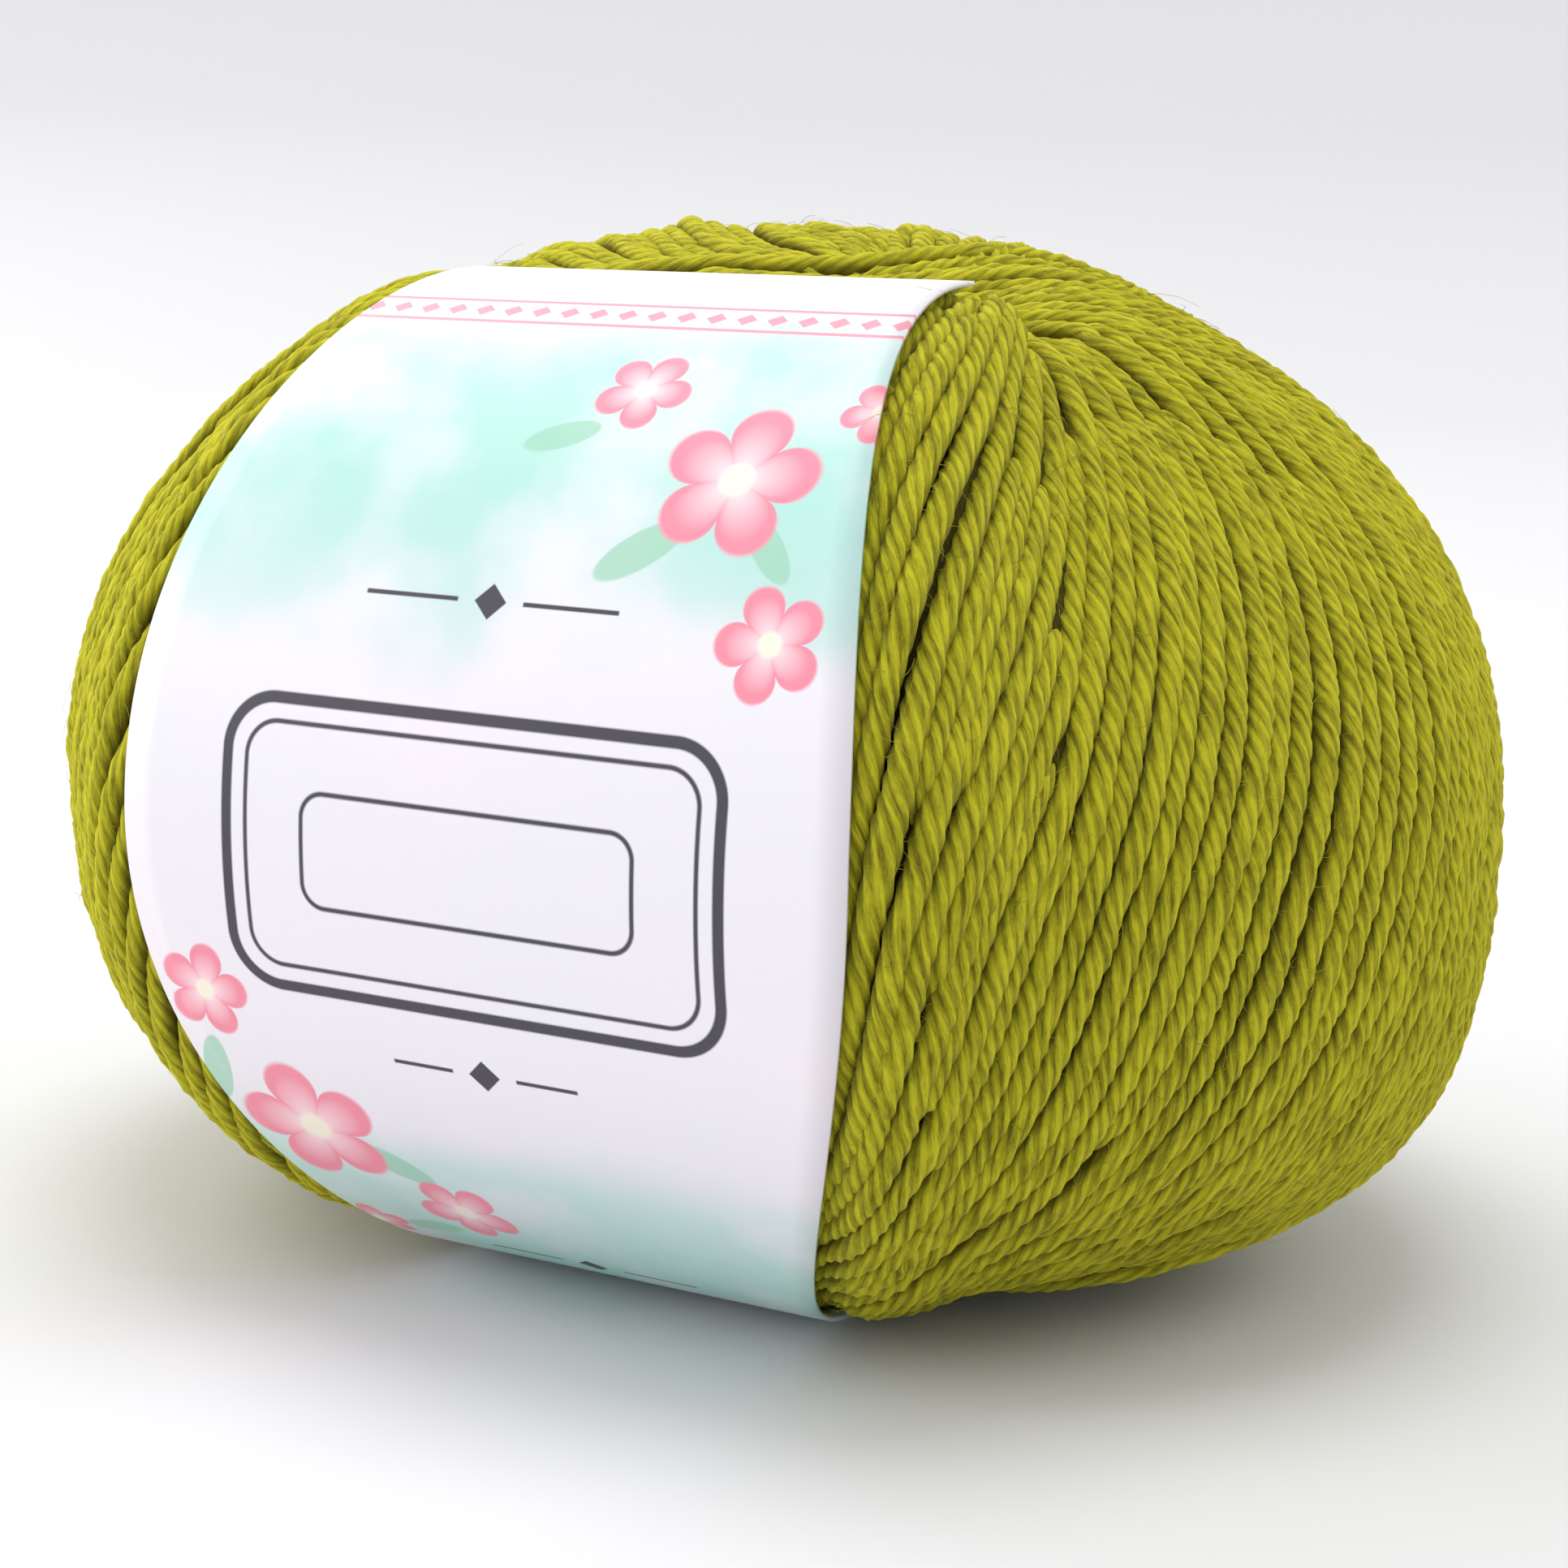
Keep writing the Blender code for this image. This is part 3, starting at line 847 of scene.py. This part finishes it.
def label_material(label):
    """Coated art paper, offset printed: smooth, with a low gloss, a soft wash and fine ruled lines."""
    made, tree, shader = new_material("coated_art_paper")
    shader.inputs["Roughness"].default_value = 0.42
    shader.inputs["Specular IOR Level"].default_value = 0.4
    print_map = add(tree, "UVMap", uv_map="print").outputs[0]
    parts = add(tree, "SeparateXYZ", [print_map])
    across, up = parts.outputs[0], parts.outputs[1]
    # The washes' clouds are about 20 mm across and the blooms in them about 10 mm.
    cloud, grain = (
        add(tree, "TexNoise", {"Vector": print_map, "Scale": scale, "Detail": 3.0}, noise_dimensions="2D")
        for scale in (0.05, 0.1)
    )
    blush = {"Value": cloud.outputs[0], "From Min": 0.45, "From Max": 0.75, "To Max": 0.35}
    colour = over(tree, label.ground, add(tree, "MapRange", blush), linear("#FBE9F0"))
    for middle, half, strength in WASHES:
        drift = add(tree, "Math", [cloud.outputs[0], 16.0, -8.0 - middle], operation="MULTIPLY_ADD")
        rise = add(tree, "Math", [up, drift], operation="ADD")
        rise = add(tree, "Math", [rise], operation="ABSOLUTE")
        fade = {"Value": rise, "From Min": half, "From Max": half * 0.2, "To Max": strength}
        wet = add(tree, "MapRange", fade, interpolation_type="SMOOTHSTEP")
        bloom = add(tree, "MapRange", {"Value": grain.outputs[0], "From Min": 0.15, "From Max": 0.55})
        wet = add(tree, "Math", [wet, bloom], operation="MULTIPLY")
        colour = over(tree, colour, wet, label.wash)
    colour = beads(tree, across, up, colour, label.petal, BEADS)
    for row in LEAVES:
        colour = leaf(tree, print_map, colour, linear("#9CCFB4"), row)
    for row in BLOSSOMS:
        colour = blossom(tree, print_map, colour, label.petal, row)
    for row in FRAMES:
        colour = frame_line(tree, print_map, colour, label.ink, row)
    for row in DIVIDERS:
        colour = divider(tree, across, up, colour, label.ink, row)
    tree.links.new(colour, shader.inputs["Base Color"])
    return made


class BALL_OT_label(bpy.types.Operator):
    """Makes the paper label, from the front through the slot and back underneath"""

    bl_idname = "ball.label"
    bl_label = "Paper label"

    def execute(self, context):
        label = context.scene.label_settings
        section = band_section()
        rows = len(section)
        steps = np.linalg.norm(np.diff(np.vstack([section, section[:1]])[:, :2], axis=0), axis=1)
        length = np.concatenate([[0.0], np.cumsum(steps)])
        shape = bmesh.new()
        bmesh.ops.create_grid(shape, x_segments=LABEL_COLUMNS, y_segments=rows, size=1.0)
        print_map = shape.loops.layers.uv.new("print")
        for face in shape.faces:
            # Heights on the print run up from the front's middle, and down from it on the lower half.
            lower = face.calc_center_median().y > 0
            for loop in face.loops:
                row = round((loop.vert.co.y + 1) / 2 * rows)
                width = section[row % rows, 2]
                loop[print_map].uv = (loop.vert.co.x / 2 * width, length[row] - length[rows] * lower)
        for vert in shape.verts:
            share = vert.co.x / 2
            y, z, width = section[round((vert.co.y + 1) / 2 * rows) % rows]
            vert.co = ((BAND_CENTRE_X + width * share) * MM, (y - FORWARD) * MM, z * MM)
        bmesh.ops.remove_doubles(shape, verts=shape.verts, dist=0.000005)
        bmesh.ops.recalc_face_normals(shape, faces=shape.faces)
        mesh = bpy.data.meshes.new("paper_label")
        shape.to_mesh(mesh)
        shape.free()
        piece = place("paper_label", mesh, label_material(label), "paper_band", "coated_paper")
        wall = piece.modifiers.new("wall", "SOLIDIFY")
        wall.thickness = label.paper
        wall.offset = -1.0
        return {"FINISHED"}


# ---------------------------------------------------------------- the stage


def area_light(name, place_at, size, power):
    """A round white lamp, aimed at the ball."""
    lamp = bpy.data.lights.new(name, "AREA")
    lamp.shape = "DISK"
    lamp.size = size
    lamp.energy = power
    item = bpy.data.objects.new(name, lamp)
    item.location = place_at
    item.rotation_euler = (LAMP_AIM - Vector(place_at)).to_track_quat("-Z", "Y").to_euler()
    item.visible_camera = False
    bpy.context.scene.collection.objects.link(item)


class BALL_OT_stage(bpy.types.Operator):
    """Sets the pale floor, the soft lights and the camera"""

    bl_idname = "ball.stage"
    bl_label = "Stage"

    def execute(self, context):
        stage = context.scene.stage_settings
        shape = bmesh.new()
        verts = [shape.verts.new((radius, 0.0, height)) for radius, height in BACKDROP]
        edges = [shape.edges.new(pair) for pair in zip(verts, verts[1:])]
        bmesh.ops.spin(shape, geom=verts + edges, cent=(0, 0, 0), axis=(0, 0, 1), angle=2 * math.pi,
                       steps=96, use_merge=True)
        bmesh.ops.remove_doubles(shape, verts=shape.verts, dist=0.0001)
        bmesh.ops.recalc_face_normals(shape, faces=shape.faces)
        if sum(face.normal.z for face in shape.faces) < 0:
            bmesh.ops.reverse_faces(shape, faces=shape.faces)
        mesh = bpy.data.meshes.new("studio_floor")
        shape.to_mesh(mesh)
        shape.free()
        mesh.shade_smooth()
        # Matt painted card.
        made, _, shader = new_material("matt_card")
        shader.inputs["Base Color"].default_value = (*stage.floor, 1.0)
        shader.inputs["Roughness"].default_value = 0.85
        mesh.materials.append(made)
        floor = bpy.data.objects.new("studio_floor", mesh)
        context.scene.collection.objects.link(floor)

        world = bpy.data.worlds.new("soft_box")
        world.use_nodes = True
        light = world.node_tree.nodes["Background"]
        light.inputs[0].default_value = (1.0, 1.0, 1.0, 1.0)
        light.inputs[1].default_value = SOFT_BOX_STRENGTH
        context.scene.world = world
        context.scene.view_settings.view_transform = "Standard"
        for name, row in LAMPS.items():
            area_light(name, *row)
        self.add_camera(context, stage)
        return {"FINISHED"}

    def add_camera(self, context, stage):
        """The camera that the outline was fitted with: a long lens on a 36 mm sensor, turned a little."""
        lens = bpy.data.cameras.new("camera")
        lens.lens = LENS
        lens.sensor_width = 36.0
        lens.shift_x, lens.shift_y = LENS_SHIFT
        lens.clip_start = 0.005
        camera = bpy.data.objects.new("camera", lens)
        towards = Vector((
            math.sin(stage.azimuth) * math.cos(stage.elevation),
            -math.cos(stage.azimuth) * math.cos(stage.elevation),
            math.sin(stage.elevation),
        ))
        middle = Vector((0.0, -FORWARD * MM, EQUATOR_HEIGHT * MM))
        turn = (-towards).to_track_quat("-Z", "Y").to_matrix() @ Matrix.Rotation(CAMERA_ROLL, 3, "Z")
        camera.matrix_world = Matrix.Translation(middle + towards * stage.distance) @ turn.to_4x4()
        context.scene.collection.objects.link(camera)
        context.scene.camera = camera


class BALL_PT_panel(bpy.types.Panel):
    """Lists the ball's pieces and its sizes"""

    bl_label = "Ball of yarn"
    bl_idname = "BALL_PT_panel"
    bl_space_type = "VIEW_3D"
    bl_region_type = "UI"
    bl_category = "Yarn"

    def draw(self, context):
        scene = context.scene
        for group in (scene.yarn_settings, scene.label_settings, scene.stage_settings):
            box = self.layout.box()
            for name in group.__annotations__:
                box.prop(group, name)
        for operator in STEPS:
            self.layout.operator(operator.bl_idname)


STEPS = (BALL_OT_stage, BALL_OT_core, BALL_OT_turns, BALL_OT_hairs, BALL_OT_label)
GROUPS = (YarnSettings, LabelSettings, StageSettings)


def register():
    for item in GROUPS + STEPS + (BALL_PT_panel,):
        bpy.utils.register_class(item)
    bpy.types.Scene.yarn_settings = PointerProperty(type=YarnSettings)
    bpy.types.Scene.label_settings = PointerProperty(type=LabelSettings)
    bpy.types.Scene.stage_settings = PointerProperty(type=StageSettings)


def unregister():
    del bpy.types.Scene.yarn_settings, bpy.types.Scene.label_settings, bpy.types.Scene.stage_settings
    for item in reversed(GROUPS + STEPS + (BALL_PT_panel,)):
        bpy.utils.unregister_class(item)


def main():
    register()
    for operator in STEPS:
        group, name = operator.bl_idname.split(".")
        getattr(getattr(bpy.ops, group), name)()


if __name__ == "__main__":
    main()
